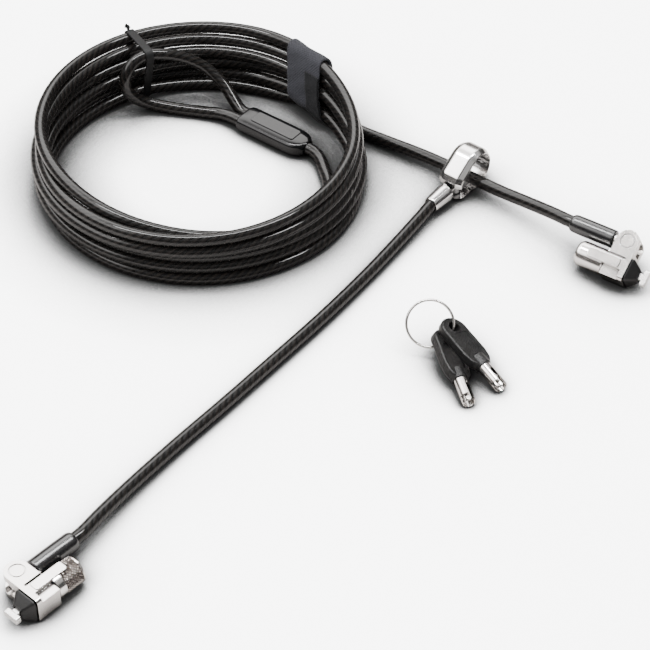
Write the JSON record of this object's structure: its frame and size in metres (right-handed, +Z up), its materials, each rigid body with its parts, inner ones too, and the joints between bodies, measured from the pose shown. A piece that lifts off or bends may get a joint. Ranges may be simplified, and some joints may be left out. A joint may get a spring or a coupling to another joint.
{
  "type": "laptop cable lock",
  "caption": "Security cable lock for laptops: a coiled plastic-coated steel cable with an eye loop, pivoting key-operated lock heads, a sliding branch collar and a ring of tubular keys.",
  "frame": {"origin": "On the surface the lock lies on, under the middle of the box that holds the two lock heads, the collar and the keys", "axes": "+Z up from the surface, +X towards the main cable lock head, +Y away from the viewer, towards the coil"},
  "size_m": [0.2386, 0.3081, 0.0297],
  "materials": {
    "coated_cable": "clear coated steel strand",
    "black_gloss_plastic": "polished",
    "black_matte_plastic": "fine moulded grain",
    "strap_fabric": "woven",
    "nickel_plated": "bright nickel plate",
    "chromed_steel": "mirror chrome",
    "bare_steel": "satin",
    "swaged_aluminium": "satin"
  },
  "bodies": {
    "main_cable": {"main_cable_coil": "coated_cable", "main_cable_run": "coated_cable", "eye_lead": "coated_cable", "eye_loop": "coated_cable", "eye_sleeve": "black_gloss_plastic", "eye_crimp": "swaged_aluminium", "coil_strap": "strap_fabric", "twist_tie": "black_matte_plastic", "boot_b": "black_gloss_plastic", "anchor_b": "nickel_plated"},
    "head_b": {"housing_b": "nickel_plated", "tip_guard_b": "black_matte_plastic", "pivot_pin_b": "bare_steel", "barrel_b": "nickel_plated"},
    "core_b": {"key_plug_b": "nickel_plated", "t_bar_b": "bare_steel"},
    "collar": {"collar_ring": "chromed_steel", "collar_rivet": "bare_steel"},
    "branch": {"collar_ferrule": "chromed_steel", "branch_cable": "coated_cable", "boot_a": "black_gloss_plastic", "anchor_a": "nickel_plated"},
    "head_a": {"housing_a": "nickel_plated", "tip_guard_a": "black_matte_plastic", "pivot_pin_a": "bare_steel"},
    "core_a": {"barrel_a": "nickel_plated", "t_bar_a": "bare_steel"},
    "plug_a": {"key_plug_a": "nickel_plated"},
    "keys": {"key_ring": "bare_steel"},
    "key_1": {"key_1_head": "black_matte_plastic", "key_1_shaft": "nickel_plated"},
    "key_2": {"key_2_head": "black_matte_plastic", "key_2_shaft": "nickel_plated"}
  },
  "joints": [
    {"name": "head_b_pivot", "type": "hinge", "parent": "main_cable", "child": "head_b", "pos_m": [0.10744, 0.05881, 0.01195], "axis": [-0.2925, -0.4419, 0.848], "range_deg": [0, 170]},
    {"name": "core_b_turn", "type": "hinge", "parent": "head_b", "child": "core_b", "pos_m": [0.1066, 0.0493, 0.0067], "axis": [0.8339, -0.5519, 0], "range_deg": [0, 90]},
    {"name": "collar_slide", "type": "slide", "parent": "main_cable", "child": "collar", "axis": [0.7826, -0.6225, 0], "range_m": [-0.01, 0.01]},
    {"name": "branch_swing", "type": "hinge", "parent": "collar", "child": "branch", "pos_m": [0.04247, 0.10393, 0], "axis": [0, 0, 1], "range_deg": [-8, 14]},
    {"name": "head_a_pivot", "type": "hinge", "parent": "branch", "child": "head_a", "pos_m": [-0.11035, -0.10263, 0.0053], "axis": [0, 0, -1], "range_deg": [0, 170]},
    {"name": "core_a_turn", "type": "hinge", "parent": "head_a", "child": "core_a", "pos_m": [-0.1062, -0.1127, 0.0053], "axis": [-0.6807, -0.7325, 0], "range_deg": [0, 90]},
    {"name": "plug_a_turn", "type": "hinge", "parent": "core_a", "child": "plug_a", "pos_m": [-0.1062, -0.1127, 0.0053], "axis": [-0.6807, -0.7325, 0], "range_deg": [0, 90]},
    {"name": "key_ring_lift", "type": "slide", "parent": "main_cable", "child": "keys", "axis": [0, 0, 1], "range_m": [0, 0.15]},
    {"name": "key_1_swing", "type": "hinge", "parent": "keys", "child": "key_1", "pos_m": [0.03522, 0.01202, 0.00578], "axis": [-0.7826, -0.4001, -0.4769], "range_deg": [0, 10]},
    {"name": "key_2_swing", "type": "hinge", "parent": "keys", "child": "key_2", "pos_m": [0.03815, 0.01482, 0.00912], "axis": [0, 0, 1], "range_deg": [0, 15]}
  ]
}
